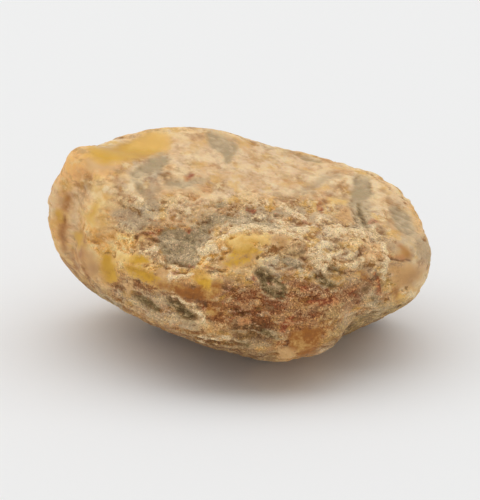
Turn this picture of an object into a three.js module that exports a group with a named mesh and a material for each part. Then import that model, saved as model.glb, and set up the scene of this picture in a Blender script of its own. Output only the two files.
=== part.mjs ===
// A raw amber nugget as it was found: one solid, lying on its worn underside.
// Millimetres, +Z up, +X along its length. The origin is under its middle, on the surface it rests on.
//
// The nugget is a rounded body between worn faces. Every surface point lies on a ray from the core:
// the faces set how far out it goes, then ridges and hollows push it out or in.
import * as THREE from "three";
import { mergeVertices } from "three/addons/utils/BufferGeometryUtils.js";

const AMBER_COLOUR = "#c79a5e";
const AMBER_ROUGHNESS = 0.6;

const CORE_HEIGHT = 17; // the core's height over the resting surface
const EDGE_HARDNESS = 12; // low values round the edges between faces, high values sharpen them
const NET_DETAIL = 21; // subdivisions of the icosahedron's edges

// Worn faces: where each one looks, and how far from the core it lies.
// bearing turns from +X towards +Y, and rise is the angle above the horizon.
const WORN_FACES = [
  { name: "crown", bearing: -24, rise: 76, distance: 12 },
  { name: "back crown", bearing: 92, rise: 66, distance: 22 },
  { name: "left crown", bearing: 140, rise: 52, distance: 29 },
  { name: "right crown", bearing: 52, rise: 62, distance: 21.5 },
  { name: "right shoulder", bearing: 22, rise: 42, distance: 29.5 },
  { name: "right end", bearing: 7, rise: 14, distance: 33 },
  { name: "right lower end", bearing: -4, rise: -16, distance: 34.5 },
  { name: "right underside", bearing: -33, rise: -53, distance: 23 },
  { name: "front foot", bearing: -70, rise: -62, distance: 20 },
  { name: "left underside", bearing: -134, rise: -60, distance: 17.3 },
  { name: "left lower end", bearing: -155, rise: -45, distance: 23 },
  { name: "left end", bearing: -173, rise: -17, distance: 31.2 },
  { name: "left upper end", bearing: 171, rise: 20, distance: 36 },
  { name: "front", bearing: -85, rise: 15, distance: 23 },
  { name: "front shoulder", bearing: -90, rise: 45, distance: 17 },
  { name: "left front", bearing: -135, rise: 10, distance: 25 },
  { name: "right front", bearing: -50, rise: 5, distance: 28 },
  { name: "back", bearing: 90, rise: 0, distance: 23 },
  { name: "left back", bearing: 135, rise: 5, distance: 28 },
  { name: "right back", bearing: 45, rise: 0, distance: 28 },
  { name: "back underside", bearing: 90, rise: -50, distance: 18 },
];

// Ridges and hollows, each along a line of points on the surface, or round a single point.
// width is how far it reaches to each side. height is how far it stands out, or lies in where negative.
const RELIEF = [
  // the crown
  { name: "honey scoop", width: 5, height: -2.8, line: [[-21.5, 5, 34], [-15, 9, 34]] },
  { name: "crown rim", width: 4.5, height: 1.2, line: [[-12, 12, 33], [-3, 15, 32]] },
  { name: "crown dip", width: 7, height: -1.5, line: [[8, 16, 29], [12, 14, 28]] },
  { name: "right shoulder swell", width: 8, height: 2, line: [[24, 11, 24.5], [26, 11, 23.5]] },
  // the arch and the hollows round it
  {
    name: "arch ridge", width: 2.6, height: 1.5,
    line: [[-6, -18, 23], [-4, -16, 25], [1, -15, 26], [9, -14.5, 25], [12, -16, 24]],
  },
  { name: "honey mound", width: 4.5, height: 1.5, line: [[-1, -18, 23], [4, -17, 24]] },
  { name: "granular hollow", width: 3.8, height: -2.2, line: [[-11, -18.5, 22], [-7, -15.5, 25.5]] },
  {
    name: "groove behind the arch", width: 2.6, height: -1.3,
    line: [[-5, -14, 26.5], [3, -12, 27], [9, -12, 26]],
  },
  { name: "second ridge", width: 2.6, height: 1.2, line: [[13, -11, 25.5], [19, -13, 23.5], [22, -15, 21]] },
  // the left end
  { name: "left knob", width: 4.5, height: 0.5, line: [[-31, 0, 28], [-31, -2, 22]] },
  { name: "left knob top", width: 3.6, height: 1.1, line: [[-25, 2, 34], [-26, -1, 33]] },
  { name: "left shoulder cut", width: 4, height: -1.1, line: [[-30, 3, 31], [-30, -1, 31]] },
  {
    name: "left groove", width: 2.8, height: -1.4,
    line: [[-26, -5, 31.5], [-28, -4, 28], [-27.5, -6.5, 24], [-29, -5, 19]],
  },
  { name: "left cheek", width: 4, height: 0.8, line: [[-24, -10, 27], [-24, -11, 20]] },
  { name: "lower left hollow", width: 7, height: -1, line: [[-28, -6, 13], [-20, -14, 9]] },
  { name: "left foot swell", width: 6, height: 0.8, line: [[-22, -11, 10], [-17, -15, 8]] },
  // the front
  { name: "amber brow", width: 3, height: 1.1, line: [[-17, -17, 21], [-12, -20, 19.5], [-4, -22, 18]] },
  { name: "front left hollow", width: 4, height: -1.2, line: [[-17, -19, 15], [-13, -22, 16]] },
  { name: "front hollow", width: 3, height: -1.2, line: [[-10, -22, 16], [-7, -23, 16]] },
  { name: "front bulge", width: 7, height: 1.2, line: [[9, -23, 16], [11, -24, 10]] },
  { name: "front chin", width: 5.5, height: 1.4, line: [[8, -20, 5], [14, -19, 6]] },
  // the right end
  { name: "right valley", width: 4, height: -1.8, line: [[23, -14, 21], [20, -19, 16], [20, -18, 7]] },
  { name: "right lobe", width: 6, height: 1.2, line: [[27, -12, 18], [28, -11, 11]] },
  { name: "right lower hollow", width: 5, height: -1, line: [[25, -12, 6], [17, -14, 2]] },
  // the back
  { name: "back hollow", width: 6, height: -1.6, line: [[-16, 22, 15], [-4, 24, 17]] },
  { name: "back ridge", width: 4, height: 1.2, line: [[2, 22, 23], [8, 24, 14], [16, 20, 9]] },
  { name: "right back hollow", width: 5, height: -1.2, line: [[22, 16, 18], [26, 12, 12]] },
];

function direction({ bearing, rise }) {
  const turn = THREE.MathUtils.degToRad(bearing);
  const lift = THREE.MathUtils.degToRad(rise);
  return new THREE.Vector3(
    Math.cos(turn) * Math.cos(lift),
    Math.sin(turn) * Math.cos(lift),
    Math.sin(lift)
  );
}

const faces = WORN_FACES.map((face) => ({ normal: direction(face), distance: face.distance }));

function segmentsOf(line) {
  const points = line.map((place) => new THREE.Vector3(...place));
  return points.slice(1).map((end, i) => new THREE.Line3(points[i], end));
}

const relief = RELIEF.map(({ width, height, line }) => ({ width, height, segments: segmentsOf(line) }));

// How far the rounded body between the worn faces reaches along a ray.
function bodyRadius(ray) {
  let sum = 0;
  for (const { normal, distance } of faces) {
    sum += Math.max(0, ray.dot(normal) / distance) ** EDGE_HARDNESS;
  }
  return sum ** (-1 / EDGE_HARDNESS);
}

// How far the ridges and hollows push the surface out at a point.
function reliefAt(point) {
  const nearest = new THREE.Vector3();
  let total = 0;
  for (const { width, height, segments } of relief) {
    const away = Math.min(
      ...segments.map((segment) => segment.closestPointToPoint(point, true, nearest).distanceTo(point))
    );
    total += height * Math.exp(-((away / width) ** 2));
  }
  return total;
}

function nuggetGeometry() {
  const net = new THREE.IcosahedronGeometry(1, NET_DETAIL);
  net.deleteAttribute("normal");
  net.deleteAttribute("uv");
  const geometry = mergeVertices(net);
  const core = new THREE.Vector3(0, 0, CORE_HEIGHT);
  const places = geometry.getAttribute("position");
  const ray = new THREE.Vector3();
  const point = new THREE.Vector3();
  for (let i = 0; i < places.count; i++) {
    ray.fromBufferAttribute(places, i).normalize();
    const radius = bodyRadius(ray);
    const push = reliefAt(point.copy(ray).multiplyScalar(radius).add(core));
    point.copy(ray).multiplyScalar(radius + push).add(core);
    places.setXYZ(i, point.x, point.y, Math.max(0, point.z));
  }
  geometry.computeBoundingBox();
  const middle = geometry.boundingBox.getCenter(new THREE.Vector3());
  return geometry.translate(-middle.x, -middle.y, 0);
}

const material = new THREE.MeshStandardMaterial({
  color: AMBER_COLOUR,
  roughness: AMBER_ROUGHNESS,
  metalness: 0,
});
const nugget = new THREE.Mesh(nuggetGeometry(), material);
nugget.name = "amber_nugget";

const group = new THREE.Group();
group.add(nugget);

export default group;
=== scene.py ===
# A raw amber nugget as it was found, lying on its worn underside.
# The frame's solid gives its size and its larger ridges and hollows. This script makes the crust on it:
# flaky ledges, pits, sugary grain, grey clay in the hollows, and the smooth windows where amber shows.
import math
from functools import partial

import bmesh
import bpy
import numpy as np
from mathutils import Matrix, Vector, noise


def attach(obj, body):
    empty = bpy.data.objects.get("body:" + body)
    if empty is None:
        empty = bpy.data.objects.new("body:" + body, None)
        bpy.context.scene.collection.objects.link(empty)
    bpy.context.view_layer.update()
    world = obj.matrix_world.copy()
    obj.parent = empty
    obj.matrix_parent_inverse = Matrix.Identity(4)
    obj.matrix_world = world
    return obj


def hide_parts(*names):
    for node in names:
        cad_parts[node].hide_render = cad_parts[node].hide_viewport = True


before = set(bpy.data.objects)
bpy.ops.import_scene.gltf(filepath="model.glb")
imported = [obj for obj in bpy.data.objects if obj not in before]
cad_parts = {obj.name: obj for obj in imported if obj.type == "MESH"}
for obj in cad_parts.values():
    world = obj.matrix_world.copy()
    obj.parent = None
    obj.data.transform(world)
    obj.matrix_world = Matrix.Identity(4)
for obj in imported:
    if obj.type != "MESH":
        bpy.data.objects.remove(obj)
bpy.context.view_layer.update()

mm = 0.001


def hexToLinear(colour):  # sRGB hex to the linear colour that nodes and lights use
    channels = [int(colour[i:i + 2], 16) / 255 for i in (1, 3, 5)]
    return tuple(c / 12.92 if c <= 0.04045 else ((c + 0.055) / 1.055) ** 2.4 for c in channels) + (1.0,)


def addNode(tree, kind, inputs=(), out=0, **settings):  # sets or links the inputs, and gives one output
    node = tree.nodes.new(kind)
    for name, value in settings.items():
        setattr(node, name, value)
    for key, value in inputs.items() if isinstance(inputs, dict) else enumerate(inputs):
        if isinstance(value, bpy.types.NodeSocket):
            tree.links.new(value, node.inputs[key])
        else:
            node.inputs[key].default_value = value
    return node if out is None else node.outputs[out]


# The camera stands in front, a little above the nugget.
cameraSetup = {
    "rise": 22.0,  # degrees above the table
    "distance": 400 * mm,
    "aim": (0.25 * mm, 0.75 * mm, 16.3 * mm),
    "heightShown": 84.9 * mm,  # what the picture spans at the aim
    "sensor": 36.0,
    "clip": (10 * mm, 20.0),
}


def placeCamera():
    rise = math.radians(cameraSetup["rise"])
    away = Vector((0, -math.cos(rise), math.sin(rise)))
    data = bpy.data.cameras.new("camera")
    data.sensor_width = cameraSetup["sensor"]
    data.lens = cameraSetup["sensor"] * cameraSetup["distance"] / cameraSetup["heightShown"]
    data.clip_start, data.clip_end = cameraSetup["clip"]
    obj = bpy.data.objects.new("camera", data)
    obj.location = Vector(cameraSetup["aim"]) + away * cameraSetup["distance"]
    obj.rotation_euler = away.to_track_quat("Z", "Y").to_euler()
    bpy.context.scene.collection.objects.link(obj)
    bpy.context.scene.camera = obj


placeCamera()

# A pale table top in a bright room, under one long soft lamp, a little behind the nugget and to its
# left. The lamp is faintly cool and the room faintly warm, and together they leave the table neutral.
studio = {
    "floorSize": 12.0,
    "floorColour": "#efefef",  # matte white card: no gloss, so only the shadow shows on it
    "floorRough": 0.9,
    "floorSpecular": 0.1,
    "lampPlace": (-0.8, 0.4, 2.0),
    "lampSize": (6.0, 2.4),
    "lampWatts": 44.8,
    "lampColour": "#f5faff",
    "roomColour": "#fffcf8",
    "roomStrength": 0.593,
}


def buildStudio():
    scene = bpy.context.scene
    scene.view_settings.view_transform = "Standard"
    half = studio["floorSize"] / 2
    mesh = bpy.data.meshes.new("floor")
    corners = [(-half, -half, 0), (half, -half, 0), (half, half, 0), (-half, half, 0)]
    mesh.from_pydata(corners, [], [(0, 1, 2, 3)])
    floor = bpy.data.objects.new("floor", mesh)
    scene.collection.objects.link(floor)
    matte = bpy.data.materials.new("pale matte card")
    matte.use_nodes = True
    shader = matte.node_tree.nodes["Principled BSDF"]
    shader.inputs["Base Color"].default_value = hexToLinear(studio["floorColour"])
    shader.inputs["Roughness"].default_value = studio["floorRough"]
    shader.inputs["Specular IOR Level"].default_value = studio["floorSpecular"]
    mesh.materials.append(matte)
    lamp = bpy.data.lights.new("long lamp", "AREA")
    lamp.shape = "RECTANGLE"
    lamp.size, lamp.size_y = studio["lampSize"]
    lamp.energy = studio["lampWatts"]
    lamp.color = hexToLinear(studio["lampColour"])[:3]
    obj = bpy.data.objects.new("long lamp", lamp)
    obj.location = studio["lampPlace"]
    scene.collection.objects.link(obj)
    world = bpy.data.worlds.new("bright room")
    world.use_nodes = True
    background = world.node_tree.nodes["Background"]
    background.inputs["Color"].default_value = hexToLinear(studio["roomColour"])
    background.inputs["Strength"].default_value = studio["roomStrength"]
    scene.world = world


buildStudio()
print("camera and studio placed")

# The patches on the show side. A stroke is a list of (across, up, reach) in mm, as seen from the front
# and showRise degrees above: across from the middle, up from the height showHeight, and how far the
# patch reaches to each side. Kinds that come later lie over the earlier ones. On the other sides each
# kind is scattered by noise: spots of about hiddenSize mm, fewer as hiddenFrom rises.
showRise = 22.0
showHeight = 16.0  # mm
patches = {
    "worn": {  # where handling and sand have worn the crust smooth
        "hiddenSize": 18, "hiddenFrom": 0.6,
        "strokes": [
            [(-28, 14, 5), (-18, 15, 6), (-6, 16, 6.5), (6, 15, 6), (16, 12.5, 4.4), (25, 9, 3)],
            [(-28, 8, 4.4), (-29, 0, 3.8), (-23, -3, 2.2)],
            [(-23, 9, 2.8), (-23, 3, 2.2)],
            [(27, 6, 3), (28.6, -1, 2.6), (29, -5, 1.6)],
        ],
    },
    "crease": {  # folds between the larger lumps
        "hiddenSize": 9, "hiddenFrom": 0.66,
        "strokes": [
            [(-15.6, 2.9, 0.5), (-12.4, 2.4, 0.7)],
            [(-11.6, -2, 0.5), (-8.8, -2.4, 0.6), (-6.8, -3.2, 0.4)],
            [(20.6, 2.4, 0.5), (20.2, -0.4, 0.8), (21.6, -3.4, 0.8), (20.6, -7, 0.7), (18.6, -11, 0.6)],
            [(24.7, -0.8, 0.3), (27, -1.2, 0.4), (29.5, -1.2, 0.3)],
            [(-3, -7, 0.6), (0.4, -9.2, 1), (3.6, -11.4, 0.8)],
            [(5.4, 0.4, 0.4), (8.6, 0.2, 0.6), (11, 0.9, 0.4)],
        ],
    },
    "peach": {  # pale peach crust along the back crown
        "hiddenSize": 16, "hiddenFrom": 0.52,
        "strokes": [
            [(-10, 18, 2.6), (-6, 17, 3), (-1, 17, 3.4), (6, 15.5, 3), (13, 14, 2.4), (19, 12.6, 1.8)],
            [(-8, 14.6, 1.6), (2, 13, 2), (9, 12, 2)],
            [(-10, 7, 1.4), (-6, 7.4, 1.6), (-3, 9.6, 1.2)],
            [(24.7, -3, 1.4), (27.4, -3.6, 2), (29.6, -4, 1.6)],
            [(-31, 10, 1.6), (-31.2, 7.6, 1.4)],
            [(-27.2, 10, 1.3), (-27, 7, 1.3), (-27.4, 4, 1)],
            [(26, 10.4, 1.2), (28, 8.8, 1)],
        ],
    },
    "tan": {  # orange tan over the left end
        "hiddenSize": 14, "hiddenFrom": 0.55,
        "strokes": [
            [(-27, 15.4, 2.6), (-29.6, 11, 3.2), (-30, 6, 2.8), (-29.6, 2, 2)],
            [(-24.6, 14.6, 1.8), (-21.6, 14, 1.6)],
            [(-26.6, 9, 1.4), (-25.6, 6, 1.2)],
            [(-26.3, 0, 1.2), (-24.6, -2, 1.4)],
            [(29.8, 8, 1), (31, 4.6, 1)],
        ],
    },
    "gold": {  # golden crust with clear amber close under it
        "hiddenSize": 11, "hiddenFrom": 0.58,
        "strokes": [
            [(-24.6, 6.6, 1.6), (-24.4, 4, 2.2), (-21.6, 0, 3), (-17.6, -2, 2.4)],
            [(-22, 11, 1), (-22.4, 6, 1.6), (-21.6, 3, 2), (-18, 1.6, 1.8)],
            [(3, 1.6, 2), (-1, 1.6, 2.6), (-5, -0.8, 1.8), (-7, -2.8, 1.4)],
            [(-2, -2.4, 1.8), (1.4, -2, 1.4)],
            [(-7.8, -3.8, 1.1), (-5, -4.4, 1.1)],
            [(-17.6, -2, 2.2), (-14, -3.4, 1.8), (-11, -4.2, 1.2)],
            [(-4.4, -12.4, 0.9), (-3.6, -13, 0.8)],
            [(27, -6.8, 1), (29.6, -6.6, 1)],
            [(6, -17, 0.8), (9, -17.2, 0.8)],
        ],
    },
    "ochre": {  # orange-brown crust
        "hiddenSize": 11, "hiddenFrom": 0.58,
        "strokes": [
            [(-29, -1, 1.4), (-27.4, -2.6, 1.8), (-24.6, -5, 1.2)],
            # Painted shade along the groove at the left end.
            [(-28.6, 9.6, 0.4), (-29.2, 6.4, 0.5), (-29.6, 3, 0.5)],
            [(-15.6, 3, 0.9), (-13.4, 3, 1)],
            [(-20, -5.4, 1.2), (-16, -5.2, 1.4), (-12, -5.6, 1.4)],
            [(-12, -5.6, 1.4), (-6, -7, 2), (-3.6, -9.4, 2.6), (-3, -11.6, 2)],
            [(7, -15, 2), (10, -14, 3.4), (14, -12, 2.4), (15.4, -9.6, 1.6)],
            [(-9.6, -12.6, 1.2), (-6.4, -13.6, 1.2), (0, -15, 1)],
            [(-24, -6.4, 0.8), (-19.6, -9, 0.9), (-14.6, -11.2, 1.1), (-9.6, -13.6, 1.1)],
            [(24.6, -0.6, 0.9), (27.4, 0.3, 1.2)],
            [(16.6, 5.8, 1.2), (18.6, 6.6, 1.4)],
            [(19.6, -3, 1), (21, -4.2, 1.2), (22.8, -5, 1.2), (23, -7, 0.8)],
        ],
    },
    "rust": {  # red-brown granular face at the front
        "hiddenSize": 12, "hiddenFrom": 0.6,
        "strokes": [
            [(-1.6, -6.2, 1.6), (4, -7.4, 2.6), (9, -7.2, 3), (14, -7.2, 2.8), (18.6, -6.8, 1.8)],
            [(0, -9.4, 2.4), (4.6, -10.6, 2.8), (8.6, -9.8, 2.6), (13, -9, 2)],
            [(16.4, -7.4, 1.6), (19, -7.6, 1.4)],
        ],
    },
    "brown": {  # dull brown crust where the sides turn under, darkened further there as painted shade
        "hiddenSize": 13, "hiddenFrom": 0.56,
        "strokes": [
            [(-28.6, -4.6, 0.5), (-22, -8.6, 0.6), (-16, -12, 0.7)],
            [(-16, -12, 0.7), (-9, -15, 1.8), (-2, -17, 3), (4, -18.4, 2.6)],
            [(0.6, -12.8, 1.8), (4.4, -13, 1.8)],
            [(16, -14.4, 1), (19, -12.4, 1.2), (24, -11, 1), (29.6, -8.6, 0.6)],
        ],
    },
    "olive": {  # damp grey-brown crust in the folds of the lower edge
        "hiddenSize": 9, "hiddenFrom": 0.63,
        "strokes": [
            [(-24.4, -6.8, 0.6), (-20, -9.4, 0.6)],
            [(18.6, -13, 0.8), (20.6, -10.6, 0.9), (23, -9.6, 1), (26.4, -9.3, 0.8), (30, -8, 0.5)],
            [(14.8, -10, 0.6), (15.8, -9.6, 0.6), (16.2, -11.6, 0.6)],
        ],
    },
    "dull": {  # crust greyed by clay dust
        "hiddenSize": 10, "hiddenFrom": 0.63,
        "strokes": [
            [(-18.4, 6.4, 1.2), (-15.6, 6.6, 1.4), (-14.4, 10, 1.6), (-14, 13, 1.6)],
            [(-1.6, 6.6, 1.2), (3, 6.6, 1.4), (6, 6.2, 1.2), (10.6, 7.4, 1.2)],
            [(21, 11, 1.4), (20.4, 8, 1.6), (20.6, 5.6, 1.4)],
            [(26.6, 6.8, 1.8), (28, 4.6, 2), (30.4, 1.2, 1.6), (31, -1, 1)],
            [(-18.6, -6.8, 1.4), (-14.6, -8.4, 1.8), (-9.6, -9.4, 1.6)],
            [(22.4, -8, 1.4)],
            [(7, -1.6, 1.4), (9.6, -1.6, 1.2), (13.4, -3.6, 1.6), (16, -3.6, 1.2)],
        ],
    },
    "butter": {  # butterscotch amber, opaque and smooth
        "hiddenSize": 9, "hiddenFrom": 0.76,
        "strokes": [
            [(-2.4, -1.8, 0.6), (-1, -1.4, 0.9), (0.6, -1, 1.1), (2, -0.4, 0.9), (2.8, 0.2, 0.6)],
            [(7, -16.2, 0.4), (9, -15.6, 0.8), (11, -15, 0.9)],
            [(25.4, -2.6, 0.8), (27.4, -3, 1.3), (29, -3.4, 1.1), (26.4, -4.4, 0.9), (28.6, -4.8, 0.7)],
            [(5.8, 2.3, 0.5), (7, 2.2, 0.65), (6.6, 1.4, 0.5)],
            [(-15.4, -4, 0.6), (-13.6, -4.2, 0.8), (-12, -4.8, 0.7)],
            [(-12.4, -3.2, 0.9), (-11, -3.8, 0.7)],
            [(-24.6, -0.8, 0.9), (-24, -2.6, 1)],
            [(16.8, 6.2, 0.8), (18.4, 6.4, 1.2), (19.4, 6.9, 0.7)],
            [(-17.8, -5.6, 0.8), (-17.6, -6.6, 0.6)],
            [(-24.2, 14.8, 0.9), (-21.4, 14.6, 1)],
        ],
    },
    "orange": {  # deep orange-brown amber
        "hiddenSize": 8, "hiddenFrom": 0.78,
        "strokes": [
            [(-11, -5.6, 0.5), (-9.2, -6.3, 0.9), (-7, -6.6, 1.1), (-4.8, -6.2, 1.1), (-3.2, -5.4, 0.7)],
            [(-5, -8.6, 0.5), (-3.6, -9.6, 0.5)],
            [(9.2, -13.4, 0.9), (9.4, -14.6, 1.4), (11.4, -13.6, 1.7), (13, -12.8, 0.9)],
            [(-13, -4.9, 0.4), (-11.6, -5.1, 0.5)],
            # Painted shade along the groove at the left end, over this stroke and the next.
            [(-28.4, 9.4, 0.3), (-28.9, 7.8, 0.35)],
            [(-29.2, 5.6, 0.2), (-29.7, 2.6, 0.3), (-29.2, 0.8, 0.3)],
            [(-26.2, 3.2, 0.5), (-25.8, 1.6, 0.6), (-26, -0.2, 0.5)],
            [(19.8, -3, 0.2), (21, -4, 0.3)],
            [(25.8, -6, 0.4), (26, -7.6, 0.4)],
            [(10, -16.4, 0.6), (12.4, -15.8, 0.5)],
            [(27, 0.7, 0.5), (27.8, -0.2, 0.7)],
        ],
    },
    "honey": {  # clear dark-gold amber just under a smooth broken face
        "hiddenSize": 9, "hiddenFrom": 0.76,
        "strokes": [
            [(-24, 17, 0.9), (-22, 16.6, 1.4), (-20, 16.8, 1.7), (-17.5, 17.6, 1.8), (-15, 18.4, 2)],
            [(-30.2, 6.8, 0.5), (-30, 5.6, 0.4)],
            [(-23.4, 7.6, 0.3), (-24.4, 5.6, 0.3)],
            [(-21.8, -1.2, 0.8), (-21.2, -2.4, 1.3), (-21, -3.8, 1.1)],
            [(-26.6, 2.8, 0.8), (-26.4, 1.4, 0.6)],
            [(-17.2, -1.2, 0.6), (-15.8, -0.9, 0.6), (-15, -1.2, 0.4)],
            [(-17.9, -2.6, 0.6), (-16, -3, 0.8), (-14.8, -3.8, 0.9), (-13.6, -4.2, 0.5)],
            [(-0.6, 0.2, 0.5), (1.6, 0.4, 0.7), (3, 0.6, 0.4)],
            [(-1.6, -1.7, 0.4), (-0.2, -1.2, 0.6), (1.4, -0.7, 0.6)],
            [(-7, -3.6, 0.5), (-5.4, -4.6, 0.7)],
        ],
    },
    "lightHoney": {  # the same where light comes through a thin edge
        "hiddenSize": 6, "hiddenFrom": 0.79,
        "strokes": [
            [(-18, 18.4, 0.5), (-15.6, 19, 1.4), (-13.6, 19.4, 1.8), (-12.8, 18.4, 1)],
            [(-20, -0.9, 0.3), (-17.4, -0.8, 0.3)],
            [(-1.4, 1.7, 0.5), (0.4, 2, 0.9), (2.4, 2.3, 0.8), (4.4, 2.2, 0.5)],
            [(0.2, 0.8, 0.6), (2, 1.1, 0.7)],
            [(-23.4, 7.2, 0.4)],
            [(15.4, 8.9, 0.3), (16.6, 8.8, 0.5), (18, 8.8, 0.3)],
            [(-9, -3.3, 0.3), (-7, -3.1, 0.4), (-5, -3.6, 0.3)],
            [(26.6, -7, 0.5), (28.6, -6.4, 0.6)],
            [(-24.6, 6, 0.5), (-23.6, 4.8, 0.4)],
        ],
    },
    "mauve": {  # thin grey-brown film
        "hiddenSize": 8, "hiddenFrom": 0.72,
        "strokes": [
            [(-20, 6.6, 0.5), (-17.8, 6.4, 1.1), (-15.6, 5.6, 0.8), (-16, 4.4, 0.6)],
            [(-14.6, 10, 0.5), (-14, 8.4, 0.7), (-13.2, 7, 0.6)],
            [(17.2, 13.6, 0.3), (14.9, 12.8, 0.5), (12.8, 11.4, 0.6), (10.8, 10.7, 0.5)],
            [(26.6, 7.6, 0.8), (28.4, 3.6, 0.9)],
            [(11.8, 6.3, 0.6), (12.8, 6, 0.5)],
            [(3.4, 7.1, 0.6), (4.6, 7, 0.4)],
            [(6.2, 7.2, 0.5), (8, 6.7, 0.5)],
            [(10.6, 7.4, 0.4)],
            [(-6.4, 11.9, 0.6)],
            [(24.8, 1.4, 0.6), (25.6, 0.6, 0.5)],
            [(30.4, 2, 0.9), (31, -0.4, 1)],
            [(-8.6, -11.6, 0.4), (-7, -11.8, 0.3)],
        ],
    },
    "clay": {  # granular grey-green clay left in the hollows
        "hiddenSize": 8, "hiddenFrom": 0.72,
        "strokes": [
            [(-12.6, 15.8, 1), (-13.6, 15, 1.4), (-15.4, 14, 1.1), (-17, 13.2, 0.7)],
            [(-17, 12, 0.5), (-15.8, 10.4, 0.6)],
            [(-4.8, 20.6, 0.9), (-3.2, 19, 1.6), (-1.5, 18, 1.4), (-1.8, 16.4, 0.7)],
            [(-11.8, 11.6, 0.5), (-9.6, 11.6, 0.7), (-7.2, 11.9, 0.5)],
            [(-3.2, 8, 0.6), (-2.4, 8, 0.5)],
            [(-5.8, 4.2, 0.8), (-4, 5.3, 0.9), (-2, 5.7, 0.75), (0.5, 5.5, 0.6)],
            [(0.5, 5.5, 0.6), (3, 5.3, 0.55), (5, 5.1, 0.6)],
            [(5, 5.1, 0.6), (6.4, 4.7, 0.5)],
            [(-11.2, 2.8, 1.6), (-10.2, 1.6, 2.6), (-9, 0.5, 2.3), (-7.2, 2.2, 2), (-6, 3.4, 1.3)],
            [(-10.5, -0.2, 1.5), (-7.8, -0.6, 1.3)],
            [(6.8, -0.8, 0.5), (8, -1.5, 1), (9.4, -1.8, 0.8), (10.4, -2.2, 0.4)],
            [(20.6, 12.4, 1), (21.6, 11.8, 1.4), (20.6, 10, 1.4)],
            [(20.6, 10, 1.4), (20, 8.4, 1.3), (20.8, 6.4, 1.3), (21.4, 5.2, 0.9)],
            [(17.3, 4.3, 0.3), (19.8, 4.5, 0.5)],
            [(-22.5, -7.3, 0.4), (-20, -9, 0.4)],
            [(11.5, 16.7, 0.4), (14, 16, 0.4)],
            [(22.4, -7.6, 0.7)],
            [(26.8, 7, 1), (27.6, 5.4, 1.6), (28.4, 4.2, 1.2)],
        ],
    },
    "darkClay": {  # the same clay in the deep pits, darker: partly its own colour, partly painted shade
        "hiddenSize": 6, "hiddenFrom": 0.84,
        "strokes": [
            [(3, -2.7, 0.5), (4.3, -3.9, 1.2), (5.4, -5, 1.7), (6.5, -6.1, 1.3), (7.2, -6.8, 0.6)],
            [(12.6, -3.6, 0.4), (13.8, -4.2, 0.6), (15.2, -5.2, 0.6)],
            [(15, -2.4, 0.4), (17, -2.9, 0.35)],
            [(-17.5, -6.7, 0.3), (-15.9, -7.5, 0.55), (-14.3, -8.5, 0.65), (-13.1, -9.3, 0.4)],
            [(-11.3, -7.4, 0.4), (-10.3, -8.3, 0.9), (-9, -9.3, 1), (-7.2, -10.2, 0.7)],
            [(2.3, -11.9, 0.3), (4.3, -12.6, 0.5), (5.7, -13.4, 0.4)],
            [(20.3, 8.6, 0.2), (20.6, 7, 0.35), (21.3, 5.5, 0.3)],
            [(-1, -14.2, 0.3), (1.5, -14.8, 0.4)],
        ],
    },
    "red": {  # iron-red stain in seams
        "hiddenSize": 5, "hiddenFrom": 0.82,
        "strokes": [
            [(-15.4, 3.3, 0.2), (-14, 3.4, 0.3), (-12.4, 3.6, 0.3)],
            [(-8.6, 4, 0.25), (-8, 3.5, 0.3)],
            [(-6.4, 4.2, 0.25)],
            [(1.5, 7.3, 0.3), (2.6, 6.9, 0.3)],
            [(-8.6, 12.6, 0.3), (-7.6, 13.1, 0.4)],
            [(-5.4, -2.2, 0.25), (-4, -2.5, 0.2)],
            [(7.1, -4.4, 0.4)],
            [(2.5, -3.9, 0.4)],
            [(10.8, -5.8, 0.45)],
            [(18.6, -6.4, 0.5)],
            [(13.4, 8.3, 0.3), (13.9, 7.2, 0.4)],
            [(22.6, -3.4, 0.3), (23.2, -5, 0.4), (22.8, -6.6, 0.3)],
            [(0.4, -11, 0.3), (1.8, -11.1, 0.35)],
            [(26, -0.5, 0.3), (27.2, -0.9, 0.3)],
            [(11.4, -7.8, 0.5), (13.6, -7.9, 0.6), (15.6, -7.6, 0.5)],
            [(8.5, -10.6, 0.6), (7.2, -12, 0.5)],
            [(-5.6, -9, 0.35)],
            [(-2.6, -8, 0.4)],
            [(4.4, -9, 0.4), (6, -8.6, 0.3)],
        ],
    },
    "cream": {  # pale rims where the crust has broken
        "hiddenSize": 5, "hiddenFrom": 0.7,
        "strokes": [
            [(-6.7, 0.2, 0.25), (-4.6, 2.3, 0.3), (-1.4, 3.8, 0.3)],
            [(-1.4, 3.8, 0.3), (1.3, 4.3, 0.25), (3.9, 4.2, 0.35), (7.4, 3.6, 0.35)],
            [(7.4, 3.6, 0.3), (10, 2.8, 0.25), (11.9, 2.1, 0.15)],
            [(-6, 0.4, 0.5), (-4.4, 0.6, 0.7), (-3.2, 0.6, 0.3), (-1.8, 0.7, 0.15)],
            [(7.6, 7.9, 0.35), (8.2, 7.6, 0.3)],
            [(3.8, 8.4, 0.4), (4.8, 8.2, 0.3)],
            [(11.6, 8.6, 0.4)],
            [(6.6, 5.2, 0.25), (8.8, 5, 0.3)],
            [(2.4, 6, 0.25), (3.8, 5.9, 0.2)],
            [(-11, -3.9, 0.5), (-9.6, -3.6, 0.4), (-7.4, -3.5, 0.2)],
            [(13.4, 5.6, 0.6), (15.4, 4.4, 0.6), (17.4, 3.9, 0.45), (20.6, 3.2, 0.5)],
            [(9.4, 6.4, 0.7), (10.6, 6.1, 0.5)],
            [(-11.1, -6.5, 0.2), (-9.5, -7.5, 0.3), (-7.6, -8.2, 0.35)],
            [(-7.6, -8.2, 0.35), (-6.2, -9.4, 0.35), (-5.4, -11, 0.25)],
            [(-5, -0.9, 0.6), (-3.4, -1, 0.5)],
            [(-13, 12.4, 0.4), (-12, 12.5, 0.6)],
            [(-17.6, 10.6, 0.7), (-16.6, 9, 0.5), (-15.6, 8.6, 0.4)],
            [(-21.6, 10.5, 0.5), (-20.2, 10.4, 0.4)],
            [(-9.6, 6.6, 0.6), (-8, 6.9, 0.6)],
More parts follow.
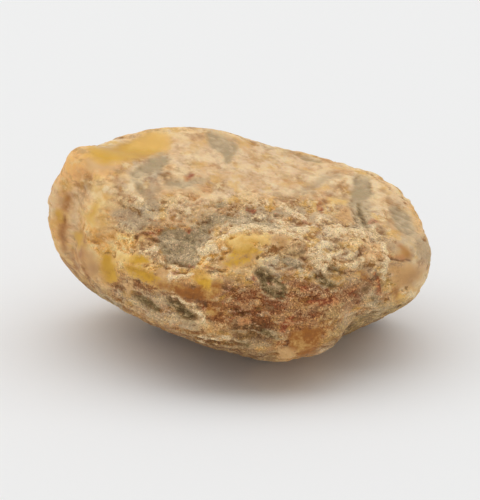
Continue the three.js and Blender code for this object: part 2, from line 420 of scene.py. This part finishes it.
            [(-8.6, 8.9, 0.6)],
            [(-15.6, 0.3, 0.25), (-14, 0.6, 0.3), (-12.8, 0.9, 0.3)],
            [(-13, -0.9, 0.3), (-11.6, -1.4, 0.3), (-9.8, -2.2, 0.3)],
            [(15.8, 11.8, 0.4), (17.6, 12, 0.8), (19, 12.6, 0.5)],
            [(17, 10.7, 0.7)],
            [(23.4, 11.8, 0.6), (24, 9.6, 0.8), (24.4, 7.4, 0.8), (24.2, 5.8, 0.5)],
            [(24, 1.4, 0.4), (23.9, -1.4, 0.5), (24, -4, 0.4)],
            [(18, -1.5, 0.5), (20, -1.3, 0.5)],
            [(-6, -13.6, 0.2), (-4, -13.9, 0.2), (-1.4, -13.7, 0.2)],
            [(27.2, -6.2, 0.5), (28.8, -6.6, 0.6)],
            [(12, 0.4, 0.8), (14.4, -0.6, 0.7)],
            [(12.4, -1.6, 0.7), (14, -2.2, 0.6)],
        ],
    },
    "dark": {  # painted shadow in the cracks, under the ridges and in pinholes
        "hiddenSize": 3, "hiddenFrom": 0.85,
        "strokes": [
            [(-15.8, 3.2, 0.15), (-14.6, 3.2, 0.2)],
            [(-14.6, 2.3, 0.15), (-13.2, 2.1, 0.3), (-12.6, 2, 0.15)],
            [(-10.2, -1.3, 0.15), (-9.2, -1.5, 0.25), (-8.4, -1.8, 0.2), (-7.6, -2, 0.25)],
            [(-10.4, -2.9, 0.1), (-9.4, -3, 0.25), (-8.7, -3.1, 0.15)],
            [(-7.4, 2.3, 0.15), (-6.4, 2.6, 0.2)],
            [(-3.9, 3.5, 0.1), (-2.8, 3.7, 0.25), (-1.9, 3.8, 0.15)],
            [(-3.6, 7, 0.15), (-2.6, 7.4, 0.15)],
            [(-2.5, -3, 0.15), (-1.8, -2.8, 0.15)],
            [(-2.2, -5.6, 0.2), (-0.7, -6, 0.3)],
            [(-0.6, -8.9, 0.25), (0.6, -9.6, 0.5), (1.7, -9.7, 0.3)],
            [(2.3, -11, 0.25), (3.2, -11.2, 0.3), (4.1, -11.6, 0.3)],
            [(4.6, -4, 0.35), (5, -4.3, 0.35)],
            [(6.2, -6.3, 0.3), (6.9, -6.4, 0.3)],
            [(7.5, 0.15, 0.25), (8.6, -0.1, 0.3), (9.8, -0.1, 0.25), (10.9, 0.6, 0.12)],
            [(10, -0.5, 0.3), (11.4, -0.9, 0.25)],
            [(11, 2.8, 0.25), (11.6, 2.3, 0.2)],
            [(8.8, 5.5, 0.15), (10, 5.3, 0.2), (11, 5.3, 0.15)],
            [(6.2, 6.5, 0.12), (7.2, 6.4, 0.15)],
            [(-4.6, 8.6, 0.15), (-3.4, 7.1, 0.15)],
            [(7.9, -2.6, 0.15), (9.2, -2.2, 0.2)],
            [(15, -2.5, 0.25), (15.6, -2.9, 0.25)],
            [(16.8, -2.8, 0.3), (17.6, -3.2, 0.2)],
            [(24.9, -0.8, 0.12), (26.6, -1.2, 0.16), (28.4, -1.2, 0.1)],
            [(22.1, 5.4, 0.2), (23.2, 5.4, 0.15)],
            [(19.8, 0.8, 0.25), (20, 0, 0.25), (19, -0.6, 0.2)],
            [(-5.3, -8.8, 0.25)],
            [(-3, -7.3, 0.3)],
            [(-17.4, -6.4, 0.2), (-16, -6.8, 0.3)],
            [(-11.2, -7.2, 0.25), (-10.4, -7.9, 0.2)],
            [(-29.1, 6.4, 0.15), (-29.3, 5.4, 0.2)],
            [(12.6, -3.5, 0.25), (13.6, -3.6, 0.25)],
        ],
    },
}

# How far each kind stands out of the crust in mm, or lies in where negative, and how much crust relief it
# keeps. edge is how far its slope reaches to each side, where that isn't patchRelief's.
reliefOf = {
    "crease": {"height": -0.27, "crust": 0.9, "edge": 1.3},
    "rust": {"height": 0.0, "crust": 0.75},
    "butter": {"height": -0.05, "crust": 0.2},
    "orange": {"height": -0.1, "crust": 0.2},
    "honey": {"height": -0.12, "crust": 0.05},
    "lightHoney": {"height": 0.0, "crust": 0.05},
    "mauve": {"height": -0.12, "crust": 0.6},
    "clay": {"height": -0.25, "crust": 0.7},
    "darkClay": {"height": -0.28, "crust": 0.8},
    "cream": {"height": 0.18, "crust": 0.8},
    "dark": {"height": -0.25, "crust": 0.9},
}
patchRelief = {  # sizes in mm
    "edge": 0.3,
    "farOutside": 5.0,  # a patch's field falls no further than this outside it
    "warps": [(3.0, 0.35), (0.9, 0.3)],  # how far apart the wobbles in the outlines are, and their shift
    "seed": 4,  # noise_vector moves with the seed, which is the clock's where none is set
    "unevenSize": 1.1,  # lumps of clay, cream rim and the like differ in height over this distance
    "wornEdge": 2.0,
    "wornOff": {"patchHeight": 0.3, "crustShare": 0.6},  # how much of each is worn away
    "foot": (0.05, 2.5),  # relief comes in between these heights over the resting flat
    "showSide": (-0.12, 0.1),  # the strokes fade in as the surface turns to the show side, as a cosine
}
hiddenNoise = {"step": (17.3, 5.1, 9.7), "dimension": 0.8, "lacunarity": 2.1, "octaves": 3}
meshDetail = {
    "splits": 2,  # each split makes four triangles of one
    "rounding": 0.5,  # how far each point then moves to its neighbours' middle, off the flat facets
    "reliefPasses": {"crevice": 3, "hollow": 30},  # smoothings that a point's depth is measured from
}


def fineCopy(source):
    net = bmesh.new()
    net.from_mesh(source.data)
    bmesh.ops.remove_doubles(net, verts=net.verts, dist=0.001 * mm)
    for _ in range(meshDetail["splits"]):
        bmesh.ops.subdivide_edges(net, edges=net.edges[:], cuts=1, use_grid_fill=True)
        bmesh.ops.smooth_vert(net, verts=net.verts[:], factor=meshDetail["rounding"],
                              use_axis_x=True, use_axis_y=True, use_axis_z=True)
    mesh = bpy.data.meshes.new("amber_nugget_crust")
    net.to_mesh(mesh)
    net.free()
    return mesh


def pointsOf(mesh):  # in mm
    values = np.empty(len(mesh.vertices) * 3, np.float32)
    mesh.vertices.foreach_get("co", values)
    return values.reshape(-1, 3).astype(float) / mm


def normalsOf(mesh):
    values = np.empty(len(mesh.vertices) * 3, np.float32)
    mesh.vertex_normals.foreach_get("vector", values)
    return values.reshape(-1, 3).astype(float)


def storeValues(mesh, name, values):
    attribute = mesh.attributes.get(name) or mesh.attributes.new(name, "FLOAT", "POINT")
    attribute.data.foreach_set("value", values.astype(np.float32))


def smoothStep(values, low, high):
    share = np.clip((values - low) / (high - low), 0, 1)
    return share * share * (3 - 2 * share)


def insideStrokes(places, strokes):  # mm inside the nearest stroke's edge, negative outside it
    inside = np.full(len(places), -patchRelief["farOutside"])
    for stroke in strokes:
        ends = stroke if len(stroke) > 1 else stroke * 2  # a single point is a stroke with no length
        for start, end in zip(ends[:-1], ends[1:]):
            a, b = np.array(start[:2], float), np.array(end[:2], float)
            along = b - a
            share = np.clip(((places - a) @ along) / max(along @ along, 1e-9), 0, 1)
            away = np.linalg.norm(places - a - share[:, None] * along, axis=1)
            inside = np.maximum(inside, start[2] + share * (end[2] - start[2]) - away)
    return inside


def hiddenPatches(points, size, level, seed):
    offset = Vector(hiddenNoise["step"]) * seed
    kind = hiddenNoise["dimension"], hiddenNoise["lacunarity"], hiddenNoise["octaves"]
    values = [noise.fractal(Vector(p) / size + offset, *kind) for p in points]
    return (np.array(values) * 0.5 + 0.5 - level) * size


def layPatches(mesh):
    points = pointsOf(mesh)
    rise = math.radians(showRise)
    toFront = np.array([0, -math.cos(rise), math.sin(rise)])
    seen = smoothStep(normalsOf(mesh) @ toFront, *patchRelief["showSide"])
    up = points[:, 1] * math.sin(rise) + (points[:, 2] - showHeight) * math.cos(rise)
    places = np.stack([points[:, 0], up], 1)
    noise.seed_set(patchRelief["seed"])
    for size, shift in patchRelief["warps"]:
        places = places + shift * np.array([noise.noise_vector(Vector(p) / size)[:2] for p in points])
    uneven = np.array([1 + noise.noise(Vector(p) / patchRelief["unevenSize"]) for p in points])
    hidden = np.nonzero(seen < 1)[0]
    crust = np.ones(len(points))
    height = np.zeros(len(points))
    for seed, (name, kind) in enumerate(patches.items(), 1):
        field = insideStrokes(places, kind["strokes"])
        scattered = hiddenPatches(points[hidden], kind["hiddenSize"], kind["hiddenFrom"], seed)
        field[hidden] = field[hidden] * seen[hidden] + scattered * (1 - seen[hidden])
        storeValues(mesh, name, field)
        if name == "worn":
            wear = smoothStep(field, -patchRelief["wornEdge"], patchRelief["wornEdge"])
        elif name in reliefOf:
            relief = reliefOf[name]
            edge = relief.get("edge", patchRelief["edge"])
            cover = smoothStep(field, -edge, edge)
            level = name == "crease" or relief["crust"] < 0.5  # folds and smooth windows lie evenly
            height += cover * relief["height"] * (1 if level else uneven)
            crust = crust * (1 - cover) + cover * relief["crust"]
    foot = smoothStep(points[:, 2], *patchRelief["foot"])
    for name, values in (("patchHeight", height), ("crustShare", crust)):
        storeValues(mesh, name, values * foot * (1 - patchRelief["wornOff"][name] * wear))


# Relief of the crust, in mm. Ledges are flakes that run along the nugget.
crustRelief = {
    "Lump Size": 7.0,
    "Lump Height": 1.1,
    "Ledge Length": 3.4,
    "Ledge Width": 1.2,
    "Ledge Height": 0.46,
    "Pit Size": 2.2,
    "Pit Depth": 0.35,
    "Wrinkle Size": 1.3,
    "Wrinkle Height": 0.22,
    "Grain Size": 0.8,
    "Grain Height": 0.2,
    "Seed": 4.0,
}
reliefNoise = {
    "roughness": 0.55,
    "ledgeStep": (0.36, 0.6),  # a ledge rises, and a pit opens, over this part of its noise
    "pitStep": (0.28, 0.42),
    "ridge": 0.8,  # a wrinkle stands out where its noise is over this
}


def crustTree(material):
    tree = bpy.data.node_groups.new("crust relief", "GeometryNodeTree")
    tree.interface.new_socket("Geometry", in_out="INPUT", socket_type="NodeSocketGeometry")
    for name, value in crustRelief.items():
        socket = tree.interface.new_socket(name, in_out="INPUT", socket_type="NodeSocketFloat")
        socket.default_value = value
    tree.interface.new_socket("Geometry", in_out="OUTPUT", socket_type="NodeSocketGeometry")
    add = partial(addNode, tree)
    given = add("NodeGroupInput", out=None).outputs
    place = add("GeometryNodeInputPosition")
    inMm = add("ShaderNodeVectorMath", {0: place, "Scale": 1 / mm}, operation="SCALE")

    def relief(size, detail, shift, kind="FBM"):  # a noise of the crust, shifted apart from the others
        scaled = add("ShaderNodeVectorMath", (inMm, size), operation="DIVIDE")
        seed = add("ShaderNodeMath", (given["Seed"], shift), operation="ADD")
        sockets = {"Vector": scaled, "W": seed, "Scale": 1.0, "Detail": detail}
        sockets["Roughness"] = reliefNoise["roughness"]
        return add("ShaderNodeTexNoise", sockets, noise_dimensions="4D", noise_type=kind)

    length, width = given["Ledge Length"], given["Ledge Width"]
    ledgeSize = add("ShaderNodeCombineXYZ", {"X": length, "Y": length, "Z": width})
    lump = relief(given["Lump Size"], 2.0, 0.0)
    ledge = relief(ledgeSize, 3.0, 3.0)
    pit = relief(given["Pit Size"], 2.0, 7.0)
    wrinkle = relief(given["Wrinkle Size"], 2.0, 11.0, "RIDGED_MULTIFRACTAL")
    grain = relief(given["Grain Size"], 1.0, 15.0)
    step = {"interpolation_type": "SMOOTHSTEP"}
    shapes = {
        "Lump Height": add("ShaderNodeMath", (lump, 0.5), operation="SUBTRACT"),
        "Ledge Height": add("ShaderNodeMapRange", (ledge, *reliefNoise["ledgeStep"], -0.5, 0.5), **step),
        "Pit Depth": add("ShaderNodeMapRange", (pit, *reliefNoise["pitStep"], -1.0, 0.0), **step),
        "Wrinkle Height": add("ShaderNodeMath", (wrinkle, reliefNoise["ridge"]), operation="SUBTRACT"),
        "Grain Height": add("ShaderNodeMath", (grain, 0.5), operation="SUBTRACT"),
    }
    total = 0.0
    for name, shape in shapes.items():
        part = add("ShaderNodeMath", (shape, given[name]), operation="MULTIPLY")
        total = add("ShaderNodeMath", (total, part), operation="ADD")
    share = add("GeometryNodeInputNamedAttribute", {"Name": "crustShare"}, data_type="FLOAT")
    patch = add("GeometryNodeInputNamedAttribute", {"Name": "patchHeight"}, data_type="FLOAT")
    kept = add("ShaderNodeMath", (total, share), operation="MULTIPLY")
    height = add("ShaderNodeMath", (kept, patch), operation="ADD")
    push = add("ShaderNodeMath", (height, mm), operation="MULTIPLY")
    normal = add("GeometryNodeInputNormal")
    offset = add("ShaderNodeVectorMath", {0: normal, "Scale": push}, operation="SCALE")
    moved = add("GeometryNodeSetPosition", {"Geometry": given["Geometry"], "Offset": offset})
    smooth = add("GeometryNodeSetShadeSmooth", {0: moved, "Shade Smooth": True})
    realized = add("GeometryNodeRealizeInstances", (smooth,))
    dressed = add("GeometryNodeSetMaterial", {"Geometry": realized, "Material": material})
    add("NodeGroupOutput", (dressed,), out=None)
    return tree


def applyTree(obj, tree, values):
    modifier = obj.modifiers.new("crust", "NODES")
    modifier.node_group = tree
    for socket in tree.interface.items_tree:
        if socket.in_out == "INPUT" and socket.name in values:
            modifier[socket.identifier] = values[socket.name]
    bpy.context.view_layer.update()
    evaluated = obj.evaluated_get(bpy.context.evaluated_depsgraph_get())
    mesh = bpy.data.meshes.new_from_object(evaluated)
    obj.modifiers.remove(modifier)
    obj.data = mesh


def neighbourMean(values, edges, counts):
    total = np.zeros_like(values)
    for column in range(values.shape[1]):
        total[:, column] += np.bincount(edges[:, 0], values[edges[:, 1], column], len(values))
        total[:, column] += np.bincount(edges[:, 1], values[edges[:, 0], column], len(values))
    return total / counts[:, None]


def measureRelief(mesh, passes):  # how far, in mm, each point lies under its surroundings, at each reach
    points = pointsOf(mesh)
    edges = np.empty(len(mesh.edges) * 2, np.int32)
    mesh.edges.foreach_get("vertices", edges)
    edges = edges.reshape(-1, 2)
    counts = np.bincount(edges.ravel(), minlength=len(points)).astype(float)
    normals = normalsOf(mesh)
    smoothNormals = normals
    around = points
    done = 0
    for name, count in passes.items():
        while done < count:
            around = neighbourMean(around, edges, counts)
            smoothNormals = neighbourMean(smoothNormals, edges, counts)
            done += 1
        storeValues(mesh, name, np.einsum("ij,ij->i", around - points, smoothNormals))


# Weathered Baltic amber: a natural resin, milky with tiny bubbles, so light goes a millimetre or two in and
# comes back warm. Its crust is crazed and sugary and hardly shines. Broken faces are smooth and waxy.
weatheredAmber = {
    "ior": 1.54,
    "specular": 0.25,
    "subsurface": 0.2,
    "subsurfaceReach": (1.0, 0.55, 0.25),
    "subsurfaceScale": 0.9 * mm,
    "pale": ("#a78158", "#d3b692", "#efd6a9"),  # the crust's two casts, each from dark to light; the painted shade of the hollows pulls the tone to the dark end
    "warm": ("#a2723a", "#d9b07d", "#f7cf98"),
    "castStep": (0.42, 0.58),  # the part of its noise where one cast turns to the other
    "rough": 0.72,
    "grain": 0.8,
    "flecks": 1.0,
    "rampWidth": 0.12,  # how far a ramp's end colours lie from its middle one
    "bumpDepth": 0.14 * mm,
}
# Patterns in the crust, with sizes in mm. They run along the nugget, and lie flatter on its top. The finest
# real grains are smaller than grainSize, and are drawn as coarse as they need to be to show.
crustPatterns = {
    "blots": {"size": 2.2, "detail": 3.0, "shift": 0.1, "stretch": (0.65, 0.5, 1)},
    "spots": {"size": 0.7, "detail": 2.0, "shift": 0.2, "stretch": (1, 1, 1)},
    "fine": {"size": 0.2, "detail": 0.0, "shift": 0.5, "stretch": (1, 1, 1)},
    "calm": {"size": 5.0, "detail": 1.0, "shift": 0.3, "stretch": (1, 0.4, 1)},
    "cast": {"size": 4.5, "detail": 2.0, "shift": 0.7, "stretch": (0.65, 0.5, 1)},
}
grainSize = 0.2  # mm
noiseRoughness = 0.6
# How strongly the patterns work. Worn places are blurred: their patterns fade, and the outlines there are
# softer and less ragged.
crustMix = {
    "wornEdge": 2.0,  # mm
    "wornRagged": 6.0,
    "wornCrisp": 0.15,  # crisp runs from this where worn to 1 elsewhere
    "wornBlur": 1.6,
    "wornOutline": 0.5,
    "crevice": 0.8,  # painted shade: the tone darkens with the depth of crevices and hollows
    "hollow": 0.08,
    "blots": 0.7,
    "spots": 0.45,
    "speck": 0.26,
    "fine": 0.6,
    "calm": 0.22,
    "smoothBlots": 0.35,  # the smooth windows' share of the blots
    "smoothGrain": 0.3,  # a layer with less grain than this is a smooth window
    "edgeBlots": 4.0,  # what makes outlines ragged
    "edgeGrain": 0.6,
    "toneGrain": 0.2,
    "mottleGrain": 0.15,
}
paintedCreviceShade = {"colour": "#5a3a1c", "from": 0.04, "to": 0.2, "share": 0.4}  # painted shade: dark brown in the crevices, coming in between these mm of depth
paintedRimHighlight = {"colour": "#f3d9ab", "from": -0.04, "to": -0.16, "share": 0.25}  # painted highlight: pale colour on rims that stand out over their surroundings by these mm
paintedGlints = {"bright": (0.78, 0.95, 0, 0.42), "dim": (0.04, 0.2, -0.3, 0), "fine": 0.6}  # painted glints and pinpoint shade in the grain: bright grains lift the colour, dim ones lower it
bumps = {"fine": 0.8, "spots": 0.7, "speck": 0.25}
# Layers from the bottom up. soft and ragged are in mm, and colours run from dark to light. grain is how
# much of the fine sugary grain shows, flecks how much of the mottling below, and share how much it covers.
zoneLayers = {
    "tan": {"colours": ("#c99557", "#f6bc79", "#f6bb6b"), "grain": 0.6, "flecks": 0.7, "share": 0.9},
    "gold": {"colours": ("#dea144", "#f7c071", "#f7da99"), "grain": 0.8, "flecks": 0.7, "share": 0.9},
    "peach": {"colours": ("#c9a06d", "#e3c198", "#ecd0a3"), "grain": 0.5, "flecks": 0.6, "share": 0.9},
    "ochre": {"colours": ("#7c4114", "#a6672e", "#d5ac6d"), "grain": 0.8, "flecks": 0.4, "share": 0.9},
    "rust": {"colours": ("#80471c", "#8a4a21", "#b07e4f"), "grain": 1.3, "flecks": 0.3, "share": 0.95},
    # Partly painted shade: darker than the crust's own brown where the sides turn under.
    "brown": {"colours": ("#4b2b10", "#663e1d", "#926c40"), "grain": 1.0, "flecks": 0.2, "share": 0.9},
    "olive": {"colours": ("#5b4422", "#978156", "#bf9f68"), "grain": 0.9, "flecks": 0.3, "share": 0.85},
    "dull": {"colours": ("#715738", "#a49278", "#c4ae8f"), "grain": 0.9, "flecks": 0.5, "share": 0.6},
}
zoneEdge = {"soft": 1.3, "ragged": 1.5, "rough": 0.7}
patchLayers = {
    "butter": {"colours": ("#84522a", "#ce9f66", "#edc58c"), "soft": 0.55, "ragged": 0.8,
               "rough": 0.42, "grain": 0.15, "share": 1},
    "orange": {"colours": ("#6d3e18", "#a76827", "#e8bf72"), "soft": 0.55, "ragged": 0.8,
               "rough": 0.38, "grain": 0.15, "share": 1},
    "honey": {"colours": ("#9e631c", "#d4a134", "#ecbb47"), "soft": 0.5, "ragged": 0.8,
              "rough": 0.36, "grain": 0.08, "share": 1},
    "lightHoney": {"colours": ("#ca974c", "#e8b860", "#f4ce84"), "soft": 0.6, "ragged": 0.6,
                   "rough": 0.4, "grain": 0.08, "share": 0.9},
    "mauve": {"colours": ("#b39573", "#ba9e7a", "#c1a681"), "soft": 0.5, "ragged": 0.7,
              "rough": 0.75, "grain": 0.6, "share": 0.9},
    "clay": {"colours": ("#ae9974", "#b19977", "#c9b08b"), "soft": 0.4, "ragged": 0.6,
             "rough": 0.85, "grain": 1.0, "share": 0.95},
    # Partly painted shade: the clay is darker in the deep pits.
    "darkClay": {"colours": ("#654f2f", "#8b734b", "#b0936a"), "soft": 0.3, "ragged": 0.6,
                 "rough": 0.85, "grain": 1.0, "share": 1},
    "red": {"colours": ("#7e3c19", "#984925", "#c78c57"), "soft": 0.25, "ragged": 0.6,
            "rough": 0.65, "grain": 0.8, "share": 0.9},
    "cream": {"colours": ("#937046", "#dab17e", "#edd1a4"), "soft": 0.3, "ragged": 0.7,
              "rough": 0.6, "grain": 1.0, "share": 0.85},
    # Painted shadow in the cracks, under the ridges and in pinholes.
    "dark": {"colours": ("#5f2d08", "#77532c", "#c18b68"), "soft": 0.2, "ragged": 0.4,
             "rough": 0.8, "grain": 0.8, "share": 1},
}
# Mottling over the crust: blots of size mm, fewer as level rises.
mottles = [
    {"size": 3.4, "level": 0.54, "soft": 0.07, "colour": "#cb9258", "share": 0.6, "shift": 1.1},
    {"size": 2.6, "level": 0.58, "soft": 0.06, "colour": "#e9ca94", "share": 0.55, "shift": 2.3},
    {"size": 2.2, "level": 0.58, "soft": 0.05, "colour": "#dcaa52", "share": 0.6, "shift": 3.7},
    {"size": 2.0, "level": 0.6, "soft": 0.05, "colour": "#a68560", "share": 0.6, "shift": 4.9},
    {"size": 1.6, "level": 0.61, "soft": 0.04, "colour": "#9c663a", "share": 0.55, "shift": 5.3},
    {"size": 1.1, "level": 0.62, "soft": 0.04, "colour": "#efd3a0", "share": 0.6, "shift": 6.1},
]


def amberMaterial():
    material = bpy.data.materials.new("weathered amber crust")
    material.use_nodes = True
    tree = material.node_tree
    shader = tree.nodes["Principled BSDF"]
    add = partial(addNode, tree)
    place = add("ShaderNodeTexCoord", out="Object")
    smoothly = {"interpolation_type": "SMOOTHSTEP"}
    layColour = {"data_type": "RGBA", "out": 2}

    def pattern(size, detail, shift, stretch):
        moved = add("ShaderNodeMapping", {"Vector": place, "Location": (shift,) * 3, "Scale": stretch})
        sockets = {"Vector": moved, "Scale": 1 / (size * mm), "Detail": detail, "Roughness": noiseRoughness}
        return add("ShaderNodeTexNoise", sockets)

    def swing(value, scale):  # how far a pattern is from its middle, times scale
        away = add("ShaderNodeMath", (value, 0.5), operation="SUBTRACT")
        return add("ShaderNodeMath", (away, scale), operation="MULTIPLY")

    def coloursAlong(tone, colours):  # dark, middle and light round the middle of a tone
        ramp = add("ShaderNodeValToRGB", (tone,), out=None)
        stops = ramp.color_ramp.elements
        stops[0].position = 0.5 - weatheredAmber["rampWidth"]
        stops[1].position = 0.5 + weatheredAmber["rampWidth"]
        stops[0].color = hexToLinear(colours[0])
        stops[1].color = hexToLinear(colours[2])
        stops.new(0.5).color = hexToLinear(colours[1])
        return ramp.outputs[0]

    blotted, spotted, fine, slow, castNoise = [pattern(**kind) for kind in crustPatterns.values()]
    grains = add("ShaderNodeTexVoronoi", {"Vector": place, "Scale": 1 / (grainSize * mm)}, out="Color")
    speck = add("ShaderNodeSeparateColor", (grains,))
    crevice = add("ShaderNodeAttribute", out="Fac", attribute_name="crevice")
    hollow = add("ShaderNodeAttribute", out="Fac", attribute_name="hollow")
    worn = add("ShaderNodeAttribute", out="Fac", attribute_name="worn")

    wornEdge, wornCrisp = crustMix["wornEdge"], crustMix["wornCrisp"]
    wear = add("ShaderNodeMath", (worn, swing(blotted, crustMix["wornRagged"])), operation="ADD")
    crisp = add("ShaderNodeMapRange", (wear, -wornEdge, wornEdge, 1.0, wornCrisp), **smoothly)
    blur = add("ShaderNodeMapRange", (crisp, wornCrisp, 1, crustMix["wornBlur"], 1.0), **smoothly)
    outline = add("ShaderNodeMapRange", (crisp, wornCrisp, 1, crustMix["wornOutline"], 1.0), **smoothly)

    # Painted shade: the depth of crevices and hollows is taken off the tone, so they come out darker.
    creviceShade = add("ShaderNodeMath", (crevice, crustMix["crevice"]), operation="MULTIPLY")
    depth = add("ShaderNodeMath", (hollow, crustMix["hollow"], creviceShade), operation="MULTIPLY_ADD")
    spots = add("ShaderNodeMath", (swing(spotted, crustMix["spots"]), crisp), operation="MULTIPLY")
    blots = add("ShaderNodeMath", (swing(blotted, crustMix["blots"]), spots), operation="ADD")
    blots = add("ShaderNodeMath", (blots, depth), operation="SUBTRACT")
    specks = swing(speck, crustMix["speck"])
    grainy = add("ShaderNodeMath", (specks, swing(fine, crustMix["fine"])), operation="ADD")
    grainy = add("ShaderNodeMath", (grainy, crisp), operation="MULTIPLY")
    crustTone = add("ShaderNodeMath", (blots, 0.5), operation="ADD")
    calm = add("ShaderNodeMath", (swing(slow, crustMix["calm"]), 0.5), operation="ADD")
    windowBlots = add("ShaderNodeMath", (crisp, crustMix["smoothBlots"]), operation="MULTIPLY")
    smoothTone = add("ShaderNodeMath", (blots, windowBlots, calm), operation="MULTIPLY_ADD")
    edgeBlots = add("ShaderNodeMath", (blots, crustMix["edgeBlots"]), operation="MULTIPLY")
    edge = add("ShaderNodeMath", (grainy, crustMix["edgeGrain"], edgeBlots), operation="MULTIPLY_ADD")

    look = {key: weatheredAmber[key] for key in ("rough", "grain", "flecks")}
    grit = crustMix["toneGrain"] * look["grain"]
    tone = add("ShaderNodeMath", (grainy, grit, crustTone), operation="MULTIPLY_ADD")
    pale = coloursAlong(tone, weatheredAmber["pale"])
    warm = coloursAlong(tone, weatheredAmber["warm"])
    cast = add("ShaderNodeMapRange", (castNoise, *weatheredAmber["castStep"]), **smoothly)
    look["colour"] = add("ShaderNodeMix", {0: cast, 6: pale, 7: warm}, **layColour)

    def lay(name, layer):
        field = add("ShaderNodeAttribute", out="Fac", attribute_name=name)
        ragged = add("ShaderNodeMath", (outline, layer["ragged"]), operation="MULTIPLY")
        inside = add("ShaderNodeMath", (edge, ragged, field), operation="MULTIPLY_ADD")
        start = add("ShaderNodeMath", (blur, -layer["soft"]), operation="MULTIPLY")
        end = add("ShaderNodeMath", (blur, layer["soft"]), operation="MULTIPLY")
        mask = add("ShaderNodeMapRange", (inside, start, end, 0, layer["share"]), **smoothly)
        body = smoothTone if layer["grain"] < crustMix["smoothGrain"] else crustTone
        grit = crustMix["toneGrain"] * layer["grain"]
        tone = add("ShaderNodeMath", (grainy, grit, body), operation="MULTIPLY_ADD")
        colour = coloursAlong(tone, layer["colours"])
        look["colour"] = add("ShaderNodeMix", {0: mask, 6: look["colour"], 7: colour}, **layColour)
        for key in ("rough", "grain", "flecks"):
            look[key] = add("ShaderNodeMix", {0: mask, 2: look[key], 3: layer[key]}, data_type="FLOAT")

    for name, layer in zoneLayers.items():
        lay(name, {**zoneEdge, **layer})
    for mottle in mottles:
        spread = pattern(mottle["size"], 3.0, mottle["shift"], crustPatterns["blots"]["stretch"])
        spread = add("ShaderNodeMath", (grainy, crustMix["mottleGrain"], spread), operation="MULTIPLY_ADD")
        reach = add("ShaderNodeMath", (blur, mottle["soft"]), operation="MULTIPLY")
        start = add("ShaderNodeMath", (mottle["level"], reach), operation="SUBTRACT")
        end = add("ShaderNodeMath", (mottle["level"], reach), operation="ADD")
        mask = add("ShaderNodeMapRange", (spread, start, end, 0, mottle["share"]), **smoothly)
        mask = add("ShaderNodeMath", (mask, look["flecks"]), operation="MULTIPLY")
        colour = hexToLinear(mottle["colour"])
        look["colour"] = add("ShaderNodeMix", {0: mask, 6: look["colour"], 7: colour}, **layColour)
    for name, layer in patchLayers.items():
        lay(name, {"flecks": 0.0, **layer})

    gritty = add("ShaderNodeMath", (look["grain"], crisp), operation="MULTIPLY")
    # Painted shade: dark brown mixed in where the crevices are deep.
    mask = add("ShaderNodeMapRange", (crevice, paintedCreviceShade["from"], paintedCreviceShade["to"], 0, paintedCreviceShade["share"]), **smoothly)
    colour = hexToLinear(paintedCreviceShade["colour"])
    look["colour"] = add("ShaderNodeMix", {0: mask, 6: look["colour"], 7: colour}, **layColour)
    # Painted highlight: pale colour on the rims that stand out, where the grain shows.
    mask = add("ShaderNodeMapRange", (crevice, paintedRimHighlight["from"], paintedRimHighlight["to"], 0, paintedRimHighlight["share"]), **smoothly)
    mask = add("ShaderNodeMath", (mask, gritty), operation="MULTIPLY", use_clamp=True)
    colour = hexToLinear(paintedRimHighlight["colour"])
    look["colour"] = add("ShaderNodeMix", {0: mask, 6: look["colour"], 7: colour}, **layColour)

    # Painted glints and pinpoint shade: the colour is scaled up on bright grains and down on dim ones.
    bright = add("ShaderNodeMapRange", (speck, *paintedGlints["bright"]), **smoothly)
    dim = add("ShaderNodeMapRange", (speck, *paintedGlints["dim"]), **smoothly)
    sparkle = add("ShaderNodeMath", (bright, dim), operation="ADD")
    sparkle = add("ShaderNodeMath", (sparkle, swing(fine, paintedGlints["fine"])), operation="ADD")
    sparkle = add("ShaderNodeMath", (sparkle, gritty, 1.0), operation="MULTIPLY_ADD")
    colour = add("ShaderNodeVectorMath", {0: look["colour"], "Scale": sparkle}, operation="SCALE")
    height = add("ShaderNodeMath", (speck, bumps["speck"]), operation="MULTIPLY")
    height = add("ShaderNodeMath", (spotted, bumps["spots"], height), operation="MULTIPLY_ADD")
    height = add("ShaderNodeMath", (fine, bumps["fine"], height), operation="MULTIPLY_ADD")
    height = add("ShaderNodeMath", (height, gritty), operation="MULTIPLY")
    sockets = {"Height": height, "Strength": 1.0, "Distance": weatheredAmber["bumpDepth"]}
    normal = add("ShaderNodeBump", sockets)
    tree.links.new(colour, shader.inputs["Base Color"])
    tree.links.new(look["rough"], shader.inputs["Roughness"])
    tree.links.new(normal, shader.inputs["Normal"])
    shader.inputs["IOR"].default_value = weatheredAmber["ior"]
    shader.inputs["Specular IOR Level"].default_value = weatheredAmber["specular"]
    shader.inputs["Subsurface Weight"].default_value = weatheredAmber["subsurface"]
    shader.inputs["Subsurface Radius"].default_value = weatheredAmber["subsurfaceReach"]
    shader.inputs["Subsurface Scale"].default_value = weatheredAmber["subsurfaceScale"]
    return material


def buildNugget():
    mesh = fineCopy(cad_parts["amber_nugget"])
    nugget = bpy.data.objects.new("amber_nugget_crust", mesh)
    bpy.context.scene.collection.objects.link(nugget)
    layPatches(mesh)
    print("patches laid on", len(mesh.vertices), "points")
    applyTree(nugget, crustTree(amberMaterial()), crustRelief)
    measureRelief(nugget.data, meshDetail["reliefPasses"])
    print("crust made:", len(nugget.data.polygons), "faces")
    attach(nugget, "root")
    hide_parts("amber_nugget")


buildNugget()
